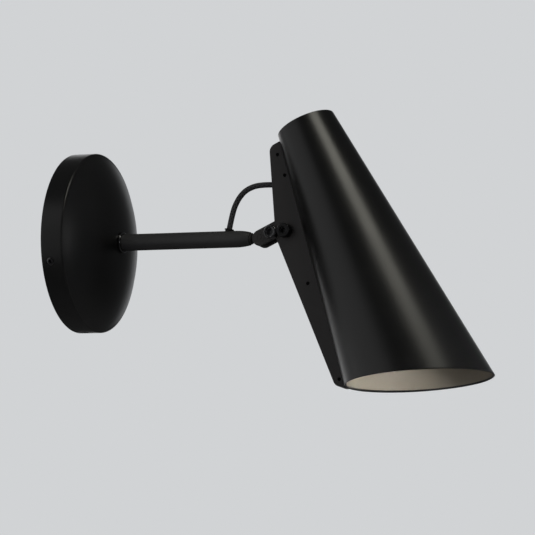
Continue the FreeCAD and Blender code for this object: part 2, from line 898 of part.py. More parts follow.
def back_line(z, behind=0):
    """X of the cone's back at a height, or of a line so far behind it."""
    return D["axis_x"] - shade_radius(z) - behind


# Each side screw: how far behind the cone's back, and its height.
SPINE_SCREWS = [(2.6, 40.5), (1.6, 26.7), (5.6, -40.6), (2.4, -102.6)]
spine_holes = [(back_line(z, behind), Size(z)) for behind, z in SPINE_SCREWS]


def make_shade():
    """Cone rolled from sheet; its edges turn out into two flanges at the back."""
    wall = D["shade_wall"]
    foot = Size(-160.0)
    top = D["shade_top"]
    body = turned(
        "shade_cone",
        "head",
        "z",
        [
            (shade_radius(top) - wall, top),
            (shade_radius(top), top),
            (shade_radius(foot), foot),
            (shade_radius(foot) - wall, foot),
        ],
        (D["axis_x"], 0, 0),
    )
    reach = 90.0
    lean = tan(D["mouth_slope"]) * reach
    drawing = sketch(body, "xz")
    outline(
        drawing,
        [
            (D["axis_x"] - reach, foot - 40),
            (D["axis_x"] + reach, foot - 40),
            (D["axis_x"] + reach, mouth_z - lean),
            (D["axis_x"] - reach, mouth_z + lean),
        ],
    )
    pocket(body, drawing, reach * 2, both=True)
    flange_top, flange_foot = Size(43.5), D["spine_foot_z"] + 3.2
    drawing = sketch(body, "xz")
    outline(
        drawing,
        [
            (back_line(flange_top, 4.6), flange_top),
            (back_line(20.0, 6.0), 20.0),
            (back_line(-12.0, 6.0), -12.0),
            (back_line(-24.0, 8.2), -24.0),
            (back_line(-60.0, 8.2), -60.0),
            (back_line(flange_foot, 3.6), flange_foot),
            (back_line(flange_foot, -0.85), flange_foot),
            (back_line(flange_top, -0.85), flange_top),
        ],
    )
    extrude(body, drawing, flange_half * 2, both=True)
    slot_top, slot_foot, gap_foot = Size(45.0), Size(-32.0), D["spine_foot_z"] - 15
    drawing = sketch(body, "xz")
    outline(
        drawing,
        [
            (back_line(slot_top, 14), slot_top),
            (back_line(gap_foot, 14), gap_foot),
            (back_line(gap_foot, 0.05), gap_foot),
            (back_line(slot_foot, 0.05), slot_foot),
            (back_line(slot_foot, -3.2), slot_foot),
            (back_line(slot_top, -3.2), slot_top),
        ],
    )
    pocket(body, drawing, D["seam_half"] * 2, both=True)
    holes = [(x, z, D["spine_screw"] + D["fixed_fit"]) for x, z in spine_holes]
    drill(body, "xz", holes, flange_half * 2 + 1, both=True)


make_shade()


def make_spine():
    """Folded channel that closes the shade's seam and holds the hinge."""
    top_x, top_z = D["spine_top_x"], D["spine_top_z"]
    apex_x, apex_z = D["spine_apex_x"], D["spine_apex_z"]
    foot_x, foot_z = D["spine_foot_x"], D["spine_foot_z"]
    body = piece("spine_cover", "head")
    drawing = sketch(body, "xz")
    outline(
        drawing,
        [
            (top_x, top_z),
            (apex_x, apex_z),
            (foot_x, foot_z),
            (back_line(foot_z, -1.3), foot_z),
            (back_line(top_z, -1.3), top_z),
        ],
    )
    extrude(body, drawing, D["spine_width"], both=True)
    across = Vector(0, 1, 0)
    corners = [Vector(top_x.number, 0, top_z.number), Vector(foot_x.number, 0, foot_z.number)]
    fillet(body, edges_along(body.Tip.Shape, across, corners), D["spine_corner"])
    bend = [Vector(apex_x.number, 0, apex_z.number)]
    fillet(body, edges_along(body.Tip.Shape, across, bend), D["spine_corner"] * 1.4)
    solid = body.Tip
    faces = solid.Shape.Faces
    front = max(range(len(faces)), key=lambda i: faces[i].normalAt(0, 0).x * faces[i].Area)
    shell = body.newObject("PartDesign::Thickness", "folded")
    shell.Base = (solid, ["Face%d" % (front + 1)])
    shell.Value = D["spine_wall"].number
    shell.setExpression("Value", D["spine_wall"].text)
    shell.Reversed = True
    shell.Join = "Intersection"
    finish(body, shell)
    above, below = top_z + 5, foot_z - 5
    cone = sketch(body, "xz", (D["axis_x"], 0, 0))
    outline(
        cone,
        [
            (0, below),
            (shade_radius(below) + D["face_gap"], below),
            (shade_radius(above) + D["face_gap"], above),
            (0, above),
        ],
    )
    revolve(body, cone, "V_Axis", "PartDesign::Groove")
    window = sketch(body, "yz")
    half_y, half_z = plate_outer + D["face_gap"], D["cheek_half"] + D["cheek_drop"] + 0.2
    outline(window, [(-half_y, -half_z), (half_y, -half_z), (half_y, half_z), (-half_y, half_z)])
    pocket(body, window, tab_start + 5, back=True)
    inside_x, inside_z = inlet_x + 3, inlet_z + inlet_fall * 3
    tilted_circle(body, inside_x, inside_z, 180 + D["inlet_slope"], grommet_hole + D["fixed_fit"], 7)
    holes = [(x, z, D["spine_screw"] + D["fixed_fit"]) for x, z in spine_holes]
    holes.append((D["anchor_x"], D["anchor_z"], anchor_hole))
    holes.append((D["clamp_x"], D["clamp_z"], D["clamp_head"] + 0.25))
    drill(body, "xz", holes, D["spine_width"] + 1, both=True)


spine_lean = (D["spine_top_x"] - D["spine_apex_x"]) / (D["spine_top_z"] - D["spine_apex_z"])
inlet_z = D["inlet_z"]
inlet_x = D["spine_apex_x"] + (inlet_z - D["spine_apex_z"]) * spine_lean
inlet_fall = tan(D["inlet_slope"])
make_spine()

side_screws = []
for side in (-1, 1):
    for x, z in spine_holes:
        start = D["seam_half"] + 0.1
        side_screws.append((D["spine_screw"], spine_half - start - 0.1, (x, start * side, z), (0, side, 0)))
group("spine_screws", "head", side_screws)
make_grommet("spine_grommet", "head", inlet_x, inlet_z, 180 + D["inlet_slope"], -2.4, 0.7, 1.0)

# ----------------------------------------------------------- lampholder, lamp

cap_top = D["shade_top"] - D["cap_recess"]
cap_under = cap_top - D["cap_sheet"]
cap_radius = shade_radius(cap_top) - D["shade_wall"] - D["face_gap"] * 2
on_axis = (D["axis_x"], 0, 0)


def make_top_plate():
    """Vented plate inside the shade's top that carries the lampholder."""
    sheet_metal = D["cap_sheet"]
    body = turned(
        "shade_top_plate",
        "head",
        "z",
        [
            (D["nipple_radius"] + D["fixed_fit"], cap_under),
            (cap_radius - sheet_metal, cap_under),
            (cap_radius - sheet_metal, cap_under - 3),
            (cap_radius, cap_under - 3),
            (cap_radius, cap_top - 0.6),
            (cap_radius - 0.6, cap_top, 0.6),
            (D["nipple_radius"] + D["fixed_fit"], cap_top),
        ],
        on_axis,
    )
    vents = []
    for i in range(8):
        turn = math.radians(45 * i + 22.5)
        vents.append((D["axis_x"] + 12.2 * math.cos(turn), Size(12.2 * math.sin(turn)), 1.7))
    drill(body, "xy", vents, D["cap_sheet"] + 1, (0, 0, cap_top + 0.5))


make_top_plate()
nipple_end = cap_top + 2.6
turned(
    "holder_nipple",
    "head",
    "z",
    ring(D["nipple_bore"], D["nipple_radius"], cap_under - 6.5, nipple_end),
    on_axis,
)
lock_nut = piece("holder_lock_nut", "head")
drawing = sketch(lock_nut, "xy", (0, 0, cap_top + D["face_gap"]))
hexagon(drawing, 14.0, D["axis_x"], Size(0))
circle(drawing, D["axis_x"], 0, D["nipple_radius"] + D["fixed_fit"])
extrude(lock_nut, drawing, 2.4)

holder_top = cap_under - D["face_gap"]
split = D["holder_split"]


def make_holder():
    radius, wall = D["holder_radius"], D["holder_wall"]
    upper = turned(
        "lampholder_cap",
        "head",
        "z",
        [
            (D["nipple_radius"] + D["fixed_fit"], holder_top - wall),
            (radius - wall, holder_top - wall),
            (radius - wall, split),
            (radius, split),
            (radius, holder_top - 2),
            (radius - 2, holder_top, 2),
            (D["nipple_radius"] + D["fixed_fit"], holder_top),
        ],
        on_axis,
    )
    start, end = HEAD_ROUTE[-2], HEAD_ROUTE[-1]
    slope = math.degrees(math.atan2(end[1] - start[1], end[0] - start[0]))
    tilted_circle(upper, start[0], start[1], slope, D["cable_radius"] + 0.1, 11)
    floor = D["lamp_cap_top"] + 1.6
    bore = D["lamp_cap_radius"] + 0.25
    turned(
        "lampholder_body",
        "head",
        "z",
        [
            (2.0, floor),
            (bore, floor),
            (bore, D["holder_mouth"]),
            (radius - 1.2, D["holder_mouth"]),
            (radius - 0.2, D["holder_mouth"] + 1),
            (radius - 0.2, split - D["face_gap"]),
            (2.0, split - D["face_gap"]),
        ],
        on_axis,
    )
    tip = D["lamp_cap_top"] + 0.3
    turned(
        "centre_contact",
        "head",
        "z",
        [(0, tip), (3.0, tip), (3.0, floor - 0.1), (1.9, floor - 0.1), (1.9, split + 2), (0, split + 2)],
        on_axis,
    )


make_holder()

neck_z = D["lamp_neck_z"]
shell = D["lamp_cap_radius"]
turned(
    "lamp_cap",
    "head",
    "z",
    [
        (0, neck_z),
        (shell + 1.8, neck_z),
        (shell, D["holder_mouth"] - 0.6),
        (shell, D["lamp_cap_top"] - 4),
        (shell - 0.8, D["lamp_cap_top"] - 2.6),
        (2.6, D["lamp_cap_top"] - 1.2),
        (1.8, D["lamp_cap_top"] + 0.2),
        (0, D["lamp_cap_top"] + 0.2),
    ],
    on_axis,
)
glass = D["globe_wall"]
inside = D["globe_radius"] - glass
shoulder = D["globe_radius"] * 0.645
shoulder_z = D["globe_z"] + D["globe_radius"] * math.sqrt(1 - 0.645**2)
turned(
    "lamp_globe",
    "head",
    "z",
    [
        (shell + 1.8 - glass, neck_z - D["face_gap"]),
        (shoulder - glass * 0.8, shoulder_z),
        (inside, D["globe_z"], -inside),
        (0, D["globe_z"] - inside, -inside),
        (0, D["globe_z"] - D["globe_radius"]),
        (D["globe_radius"], D["globe_z"], D["globe_radius"]),
        (shoulder, shoulder_z, D["globe_radius"]),
        (shell + 1.8, neck_z - D["face_gap"]),
    ],
    on_axis,
)

# --------------------------------------------------------------------- output

doc.recompute()
for thing in doc.Objects:
    if {"Invalid", "Error"} & set(thing.State):
        raise RuntimeError("%s is %s" % (thing.Label, thing.State))
os.makedirs("parts", exist_ok=True)
for body in pieces:
    shape = body.Shape
    if shape.isNull() or not shape.isValid() or not shape.Solids:
        raise RuntimeError("%s has no valid solid" % body.Label)
for body in pieces:
    body.Shape.exportStep("parts/%s.step" % body.Label)
print("%d nodes, %d solids" % (len(pieces), sum(len(body.Shape.Solids) for body in pieces)))
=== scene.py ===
"""A pivoting spotlight wall light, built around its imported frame.

Sizes are in metres.  Three frames are used: the row frame, the arm's frame, which is
turned about X, and the head's frame, whose origin is the hinge pin, whose -Z runs down
the shade's axis and whose +X leads from the pin to that axis.
"""

import json
from math import asin, cos, hypot, pi, radians, sin, sqrt, tan

import bpy
from bpy.props import FloatProperty, FloatVectorProperty, IntProperty, PointerProperty
from mathutils import Matrix, Vector

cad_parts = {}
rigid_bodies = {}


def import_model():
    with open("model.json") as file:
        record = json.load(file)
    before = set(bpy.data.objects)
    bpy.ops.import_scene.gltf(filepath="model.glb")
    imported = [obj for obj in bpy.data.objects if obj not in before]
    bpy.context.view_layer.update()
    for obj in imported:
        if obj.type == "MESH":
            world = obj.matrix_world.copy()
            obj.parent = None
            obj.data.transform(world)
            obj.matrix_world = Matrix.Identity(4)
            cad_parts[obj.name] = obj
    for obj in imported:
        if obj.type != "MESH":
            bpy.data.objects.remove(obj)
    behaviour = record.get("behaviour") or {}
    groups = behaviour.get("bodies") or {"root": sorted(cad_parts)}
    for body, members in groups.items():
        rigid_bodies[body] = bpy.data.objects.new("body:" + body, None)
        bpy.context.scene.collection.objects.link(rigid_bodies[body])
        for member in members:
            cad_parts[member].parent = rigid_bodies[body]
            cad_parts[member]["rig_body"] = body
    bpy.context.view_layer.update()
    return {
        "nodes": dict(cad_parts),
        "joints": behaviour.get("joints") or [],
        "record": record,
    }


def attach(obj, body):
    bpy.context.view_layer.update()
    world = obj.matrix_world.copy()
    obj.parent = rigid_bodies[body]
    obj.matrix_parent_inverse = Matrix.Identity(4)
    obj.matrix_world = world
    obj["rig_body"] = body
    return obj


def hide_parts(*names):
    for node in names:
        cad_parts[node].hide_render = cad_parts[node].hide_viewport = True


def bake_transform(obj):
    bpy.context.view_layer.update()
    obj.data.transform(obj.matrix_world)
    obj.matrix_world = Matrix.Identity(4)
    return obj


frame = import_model()

bl_info = {
    "name": "Pivoting Spotlight Wall Light",
    "version": (1, 0, 0),
    "blender": (4, 5, 0),
    "location": "View3D > Sidebar > Spotlight",
    "description": "Models and finishes a wall spotlight around its packed frame",
    "category": "Object",
}

ARM_TURN = radians(-5.4)
HEAD_TILT = radians(25.8)
PIVOT = Vector(frame["joints"][1]["pos_m"])
ARM = Matrix.Rotation(ARM_TURN, 4, "X")
HEAD = ARM @ Matrix.Translation(PIVOT) @ Matrix.Rotation(-HEAD_TILT, 4, "Y")
ALONG_X = Matrix.Rotation(radians(90), 4, "Y")
FRAMES = {"wall": Matrix.Identity(4), "arm": ARM, "head": HEAD}
SLOTS = {line["node"]: line["material_slot"] for line in frame["record"]["subparts"]}

CAMERA_TURN = 22.468  # degrees about Z, from looking along +Y
SCREW_TURNS = (15.0, 87.0, 231.0)  # degrees round the rim, for its set screws
JOINED = 2e-6  # points nearer to each other than this are one point
SLACK = 1e-6  # allowance in a test of where a point lies


# ----------------------------------------------------------------- user sizes


def size(name, default, description):
    return FloatProperty(
        name=name,
        description=description,
        default=default,
        unit="LENGTH",
        subtype="DISTANCE",
    )


def tilt(name, degrees, description):
    return FloatProperty(
        name=name, description=description, default=radians(degrees), subtype="ANGLE"
    )


def colour(name, default, description):
    return FloatVectorProperty(
        name=name,
        description=description,
        default=default,
        subtype="COLOR",
        size=3,
        min=0,
        max=1,
    )


class SpotlightPlateSizes(bpy.types.PropertyGroup):
    radius: size("Radius", 0.055, "Outer radius of the domed cover")
    rim: size("Rim", 0.0144, "Depth of the cover at its edge")
    rise: size("Rise", 0.0144, "Rise of the dome above the rim")
    edge: size("Edge", 0.0013, "Radius between rim and dome")
    wall: size("Sheet", 0.0012, "Sheet of the cover")
    bush: size("Bush hole", 0.00605, "Radius of the hole for the arm's bush")
    screw_height: size("Screw height", 0.0055, "Set screws from the wall")
    screw_hole: size("Screw hole", 0.00245, "Radius of the set screws' holes")


class SpotlightArmSizes(bpy.types.PropertyGroup):
    radius: size("Radius", 0.0051, "Outer radius of the tube")
    wall: size("Wall", 0.0011, "Wall of the tube")
    start: size("Start", 0.0063, "Inner end of the tube from the wall")
    tip: size("Tip", 0.1144, "Outer end of the tube from the wall")
    nose: size("Nose", 0.0095, "Length of the drawn-in tip")
    nose_radius: size("Nose radius", 0.00415, "Radius of the tip")
    collar: size("Collar radius", 0.0064, "Radius of the bush's collar")
    collar_face: size("Collar face", 0.0302, "Front of the bush's collar from the wall")
    bush_body: size("Bush radius", 0.006, "Radius of the bush in the cover")


class SpotlightShadeSizes(bpy.types.PropertyGroup):
    axis: size("Axis", 0.0532, "Shade's axis from the hinge pin")
    top: size("Top", 0.0507, "Top edge above the hinge pin")
    length: size("Length", 0.1744, "Length on the axis")
    top_radius: size("Top radius", 0.01815, "Outer radius at the top edge")
    taper: tilt("Taper", 7.77, "Half angle of the cone")
    slope: tilt("Mouth slope", 20.2, "Slant of the mouth")
    wall: size("Sheet", 0.001, "Sheet of the shade")
    seam: size("Seam", 0.00455, "Half the distance over the seam's two flanges")
    globe: size("Globe", 0.0225, "Radius of the lamp's globe")
    globe_height: size("Globe height", -0.0385, "Globe's centre from the hinge pin")


class SpotlightFinishes(bpy.types.PropertyGroup):
    paint: colour("Paint", (0.0042, 0.0042, 0.0043), "Satin black powder coat")
    inside: colour("Inside", (0.225, 0.201, 0.163), "Silvery lacquer inside the shade")
    textile: colour("Textile", (0.012, 0.012, 0.013), "Woven covering of the cable")
    backdrop: colour("Backdrop", (0.638, 0.6515, 0.665), "Background")
    sides: IntProperty(
        name="Sides", description="Faces round a turned piece", default=160, min=24
    )


def settings(name):
    return getattr(bpy.context.scene, "spotlight_" + name)


# ------------------------------------------------------------------ modelling


def clear_selection():
    if bpy.context.object and bpy.context.object.mode != "OBJECT":
        bpy.ops.object.mode_set(mode="OBJECT")
    bpy.ops.object.select_all(action="DESELECT")


def select_only(piece):
    clear_selection()
    piece.select_set(True)
    bpy.context.view_layer.objects.active = piece


def choose(kind, test):
    """Selects the edges or faces of the piece in edit mode that pass a test."""
    piece = bpy.context.object
    bpy.ops.mesh.select_mode(type=kind)
    bpy.ops.mesh.select_all(action="DESELECT")
    bpy.ops.object.mode_set(mode="OBJECT")
    mesh = piece.data
    found = 0
    for part in {"EDGE": mesh.edges, "FACE": mesh.polygons}[kind]:
        part.select = bool(test(mesh, part))
        found += part.select
    bpy.ops.object.mode_set(mode="EDIT")
    if not found:
        raise RuntimeError("nothing to select on %s" % piece.name)


def corners(mesh, part):
    return [mesh.vertices[i].co for i in part.vertices]


def lathe(name, rings, sides, shift=(0, 0, 0)):
    """A turned piece about Z from rings (radius, height); a radius of 0 closes it to a
    point, and a last ring like the first closes a hollow section."""
    clear_selection()
    radius, height = rings[0]
    bpy.ops.mesh.primitive_circle_add(
        vertices=sides, radius=radius, location=(0, 0, height)
    )
    piece = bpy.context.object
    bpy.ops.object.transform_apply(location=True, rotation=True, scale=True)
    bpy.ops.object.mode_set(mode="EDIT")
    bpy.ops.mesh.select_all(action="SELECT")
    for next_radius, next_height in rings[1:]:
        rise = (0, 0, next_height - height)
        bpy.ops.mesh.extrude_region_move(TRANSFORM_OT_translate={"value": rise})
        if next_radius == 0:
            bpy.ops.mesh.merge(type="CENTER")
            break
        ratio = next_radius / radius
        if ratio != 1:
            bpy.ops.transform.resize(
                value=(ratio, ratio, 1), center_override=(0, 0, next_height)
            )
        radius, height = next_radius, next_height
    finish_mesh(piece, name)
    piece.data.transform(Matrix.Translation(shift))
    return piece


def finish_mesh(piece, name):
    """Joins doubled points and turns the faces outwards."""
    if piece.mode != "EDIT":
        bpy.ops.object.mode_set(mode="EDIT")
    bpy.ops.mesh.select_mode(type="VERT")
    bpy.ops.mesh.select_all(action="SELECT")
    bpy.ops.mesh.remove_doubles(threshold=JOINED)
    bpy.ops.mesh.normals_make_consistent(inside=False)
    bpy.ops.object.mode_set(mode="OBJECT")
    piece.name = name
    piece.data.name = name


def apply_modifier(piece, kind, **options):
    modifier = piece.modifiers.new(kind.title(), kind)
    for option, value in options.items():
        setattr(modifier, option, value)
    select_only(piece)
    bpy.ops.object.modifier_apply(modifier=modifier.name)


def soften(piece, width, segments=2, angle=38):
    """Rounds the edges that turn by more than an angle in degrees."""
    apply_modifier(
        piece,
        "BEVEL",
        width=width,
        segments=segments,
        limit_method="ANGLE",
        angle_limit=radians(angle),
        use_clamp_overlap=True,
    )


def smooth(piece, angle=32):
    """Shades the piece smooth, except at edges that turn by more than the angle."""
    select_only(piece)
    bpy.ops.object.shade_smooth_by_angle(angle=radians(angle))
    apply_modifier(piece, "WEIGHTED_NORMAL", keep_sharp=True)


def bore(piece, radius, depth, place, sides=40):
    """Cuts a round hole whose axis is the Z axis of place."""
    clear_selection()
    bpy.ops.mesh.primitive_cylinder_add(vertices=sides, radius=radius, depth=depth)
    drill = bpy.context.object
    drill.data.transform(place)
    apply_modifier(
        piece, "BOOLEAN", operation="DIFFERENCE", solver="EXACT", object=drill
    )
    bpy.data.objects.remove(drill)


def give_finish(piece, finish):
    piece.data.materials.clear()
    piece.data.materials.append(finish)


def settle(piece, body, finish, nodes):
    """Puts a piece in the row frame, on its body, in place of its CAD nodes."""
    piece.data.transform(FRAMES[body])
    give_finish(piece, finish_for(finish))
    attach(piece, body)
    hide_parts(*nodes)


def refined(name, node, finish, edge):
    """A merged copy of a CAD node with its edges rounded, in place of that node."""
    nearly_flat = radians(0.6)
    select_only(frame["nodes"][node])
    bpy.ops.object.duplicate()
    piece = bpy.context.object
    body = piece["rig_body"]
    for key in list(piece.keys()):
        del piece[key]
    piece.parent = None
    piece.matrix_world = Matrix.Identity(4)
    bpy.ops.mesh.customdata_custom_splitnormals_clear()
    finish_mesh(piece, name)
    bpy.ops.object.mode_set(mode="EDIT")
    bpy.ops.mesh.dissolve_limited(angle_limit=nearly_flat)
    bpy.ops.object.mode_set(mode="OBJECT")
    soften(piece, edge)
    smooth(piece)
    give_finish(piece, finish_for(finish))
    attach(piece, body)
    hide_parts(node)
    return piece


def arc(centre, radius, start, end, steps):
    """Points (across, up) on an arc, its angles in degrees."""
    turns = [radians(start + (end - start) * i / steps) for i in range(steps + 1)]
    return [(centre[0] + radius * cos(t), centre[1] + radius * sin(t)) for t in turns]


# ------------------------------------------------------------------- finishes


class Wire:
    """A socket of a node tree with the arithmetic that the finishes use."""

    def __init__(self, tree, socket):
        self.tree = tree
        self.socket = socket

    def join(self, operation, first, second):
        node = self.tree.nodes.new("ShaderNodeMath")
        node.operation = operation
        for value, socket in zip((first, second), node.inputs):
            if isinstance(value, Wire):
                self.tree.links.new(value.socket, socket)
            else:
                socket.default_value = value
        return Wire(self.tree, node.outputs[0])

    def __add__(self, other):
        return self.join("ADD", self, other)

    def __radd__(self, other):
        return self.join("ADD", other, self)

    def __sub__(self, other):
        return self.join("SUBTRACT", self, other)

    def __rsub__(self, other):
        return self.join("SUBTRACT", other, self)

    def __mul__(self, other):
        return self.join("MULTIPLY", self, other)


class Nodes:
    """A node tree and the one method that adds nodes to it."""

    def __init__(self, tree):
        self.tree = tree

    def node(self, kind, output=0, options=None, **inputs):
        """Adds a node.  Its inputs go by their names, or by n and their number."""
        node = self.tree.nodes.new("ShaderNode" + kind)
        for name, value in (options or {}).items():
            setattr(node, name, value)
        self.feed(node, inputs)
        return None if output is None else Wire(self.tree, node.outputs[output])

    def feed(self, node, inputs):
        for name, value in inputs.items():
            numbered = name[0] == "n" and name[1:].isdigit()
            socket = node.inputs[int(name[1:]) if numbered else name]
            if isinstance(value, Wire):
                self.tree.links.new(value.socket, socket)
            else:
                socket.default_value = value


class Finish(Nodes):
    """A material of one principled surface."""

    def __init__(self, name):
        self.material = bpy.data.materials.new(name)
        self.material.use_nodes = True
        super().__init__(self.material.node_tree)
        self.shader = next(n for n in self.tree.nodes if n.type == "BSDF_PRINCIPLED")

    def noise(self, scale, detail):
        place = self.node("TexCoord", "Object")
        return self.node("TexNoise", "Fac", Vector=place, Scale=scale, Detail=detail)

    def tint(self, colour, other, share):
        """A colour that runs from one to another as share runs from 0 to 1."""
        return self.node(
            "Mix", 2, {"data_type": "RGBA"}, n0=share, n6=(*colour, 1), n7=(*other, 1)
        )

    def shades(self, colour, darkest, lightest, share):
        """Shades of one colour, from the darkest to the lightest share of it."""
        return self.tint(shaded(colour, darkest), shaded(colour, lightest), share)

    def bump(self, height, distance, strength):
        return self.node(
            "Bump", "Normal", Height=height, Distance=distance, Strength=strength
        )

    def surface(self, **inputs):
        """Sets the surface's inputs, with _ for the spaces in their names."""
        named = {key.replace("_", " "): value for key, value in inputs.items()}
        self.feed(self.shader, named)
        return self.material


def shaded(colour, factor):
    return tuple(min(1.0, c * factor) for c in colour)


def powder_coat(name, colour, roughness=0.32):
    """Satin powder coat: a fine orange peel, with faint cloudy changes of sheen."""
    finish = Finish(name)
    peel = finish.noise(1150, 2.5)
    cloud = finish.noise(38, 3.0)
    return finish.surface(
        Base_Color=finish.shades(colour, 0.82, 1.22, cloud),
        Roughness=roughness - 0.05 + cloud * 0.1,
        Normal=finish.bump(peel, 0.00005, 0.55),
    )


def shade_lining(name, colour):
    """Silvery lacquer inside the shade, a little uneven where it was sprayed."""
    finish = Finish(name)
    spray = finish.noise(620, 3.0)
    cloud = finish.noise(26, 2.0)
    return finish.surface(
        Base_Color=finish.shades(colour, 0.93, 1.05, cloud),
        Roughness=0.5 + spray * 0.1,
        Metallic=0.25,
        Normal=finish.bump(spray, 0.00003, 0.4),
    )


def bare_metal(name, colour, roughness):
    """Plated or turned metal with a fine uneven sheen."""
    finish = Finish(name)
    fine = finish.noise(700, 3.0)
    cloud = finish.noise(60, 2.0)
    return finish.surface(
        Base_Color=finish.shades(colour, 0.85, 1.08, cloud),
        Roughness=roughness - 0.05 + fine * 0.1,
        Metallic=1.0,
        Normal=finish.bump(fine, 0.00002, 0.4),
    )


def blackened(name, colour):
    """Oiled black oxide on steel screws, in cloudy shades."""
    finish = Finish(name)
    fine = finish.noise(1400, 3.0)
    cloud = finish.noise(160, 2.0)
    return finish.surface(
        Base_Color=finish.shades(colour, 0.6, 1.3, cloud),
        Roughness=0.25 + fine * 0.1,
        Metallic=0.6,
        Normal=finish.bump(fine, 0.00002, 0.4),
    )


def moulded(name, colour, roughness, specular=0.4):
    """Moulded plastic or rubber with a fine mould texture."""
    finish = Finish(name)
    fine = finish.noise(900, 2.0)
    cloud = finish.noise(45, 2.0)
    return finish.surface(
        Base_Color=finish.shades(colour, 0.9, 1.08, cloud),
        Roughness=roughness - 0.04 + fine * 0.08,
        Normal=finish.bump(fine, 0.00003, 0.5),
        Specular_IOR_Level=specular,
    )


def opal_glass(name):
    """Opal lamp glass: milky, with a glossy skin and faint clouding."""
    finish = Finish(name)
    cloud = finish.noise(70, 2.0)
    return finish.surface(
        Base_Color=finish.tint((0.78, 0.77, 0.73), (0.86, 0.85, 0.82), cloud),
        Roughness=0.08 + cloud * 0.05,
        Subsurface_Weight=0.15,
        Coat_Weight=0.2,
    )


def woven_textile(name, colour):
    """Braided yarn round a cable: its UV map runs round the cable and along it, in
    metres along, so two sets of lays cross at a slant."""
    lays, pitch = 5, 0.0075
    finish = Finish(name)
    uv = finish.node("UVMap", "UV", {"uv_map": "along"})
    split = finish.tree.nodes.new("ShaderNodeSeparateXYZ")
    finish.tree.links.new(uv.socket, split.inputs[0])
    around = Wire(finish.tree, split.outputs[0]) * float(lays)
    along = Wire(finish.tree, split.outputs[1]) * (lays / pitch)

    def wave(value):
        turn = value * (2 * pi)
        return finish.node("Math", 0, {"operation": "SINE"}, n0=turn) * 0.5 + 0.5

    left, right = wave(around + along * 0.5), wave(around - along * 0.5)
    over = finish.node("Math", 0, {"operation": "MAXIMUM"}, n0=left, n1=right)
    fuzz = finish.noise(2600, 2.0)
    # The weave mask also drives the colour: lighter on the lays' crowns as painted
    # sheen, darker between them as painted shade.
    weave_with_painted_light = over * 0.85 + fuzz * 0.15
    return finish.surface(
        # Painted sheen on the crowns, painted shade between the lays.
        Base_Color=finish.shades(colour, 0.25, 4.0, weave_with_painted_light),
        Roughness=0.92 - weave_with_painted_light * 0.12,
        Normal=finish.bump(weave_with_painted_light, 0.00022, 0.8),
        Specular_IOR_Level=0.25,
        Sheen_Weight=0.12,
    )


FINISHES = {}


def finish_makers():
    """Each finish's maker, with the name, the colour and the sheen that it is given."""
    chosen = settings("finishes")
    return {
        "satin_black": (powder_coat, "satin_black_paint", tuple(chosen.paint)),
        # arm_black is the satin black paint, rougher and about seven times lighter: the
        # lighter colour is painted light on the arm.
        "arm_black": (powder_coat, "arm_black_paint", (0.029, 0.029, 0.03), 0.5),
        # matte_black is rougher than the satin paint, a real matte finish, and about
        # four times lighter, which is painted light.
        "matte_black": (powder_coat, "matte_black_paint", (0.019, 0.0175, 0.0175), 0.46),
        "black_steel": (blackened, "blackened_steel", (0.018, 0.018, 0.0195)),
        "bright_black": (bare_metal, "polished_black", (0.16, 0.16, 0.165), 0.12),
        # The spine's screw heads are nearly black and dull: painted shade, standing in
        # for the shade in their holes.
        "screw_black_painted_shade": (moulded, "sunk_screw_black", (0.0015, 0.0015, 0.0015), 0.7, 0.1),
        "zinc_steel": (bare_metal, "zinc_plate", (0.6, 0.6, 0.61), 0.32),
        "brass": (bare_metal, "brass_contact", (0.72, 0.53, 0.26), 0.28),
        "rubber": (moulded, "grommet_rubber", (0.012, 0.012, 0.012), 0.62, 0.25),
        "textile": (woven_textile, "cable_textile", tuple(chosen.textile)),
        "nylon": (moulded, "washer_nylon", (0.04, 0.04, 0.04), 0.5),
        "white_plastic": (moulded, "terminal_plastic", (0.72, 0.72, 0.69), 0.45),
        "lead_insulation": (moulded, "lead_sleeve", (0.33, 0.2, 0.12), 0.45),
        "phenolic": (moulded, "holder_phenolic", (0.016, 0.015, 0.014), 0.35, 0.5),
        "cap_metal": (bare_metal, "lamp_cap_metal", (0.75, 0.75, 0.73), 0.25),
        "opal_glass": (opal_glass, "lamp_opal_glass"),
        "lining": (shade_lining, "shade_lining", tuple(chosen.inside)),
    }


def finish_for(name):
    """The finish of a record slot, or a finish of this script's own; made once."""
    if name not in FINISHES:
        maker, *values = finish_makers()[name]
        FINISHES[name] = maker(*values)
    return FINISHES[name]


# --------------------------------------------------------------------- pieces


def dome_height(plate, radius, depth=0.0):
    """Height over the wall of the cover's dome, or of a skin at a depth below it."""
    flat = plate.radius - plate.edge
    sphere = (flat**2 + plate.rise**2) / (2 * plate.rise)
    return plate.rim + plate.rise - sphere + sqrt((sphere - depth) ** 2 - radius**2)


def set_screw_places():
    """Where the set screws' outer ends lie on the rim, with Z pointing outwards."""
    plate = settings("plate")
    places = []
    for turn in SCREW_TURNS:
        out = Vector((0, -cos(radians(turn)), -sin(radians(turn))))
        point = out * plate.radius + Vector((plate.screw_height, 0, 0))
        turned = out.to_track_quat("Z", "Y").to_matrix().to_4x4()
        places.append(Matrix.Translation(point) @ turned)
    return places


def make_set_screws():
    """The rim's set screws, with a hexagon socket in each outer end."""
    socket_radius, bore_length = 0.0012, 0.0036
    piece = refined("set_screws", "canopy_set_screws", "bright_black", 0.0003)
    for place in set_screw_places():
        bore(piece, socket_radius, bore_length, place, 6)
    smooth(piece, 30)


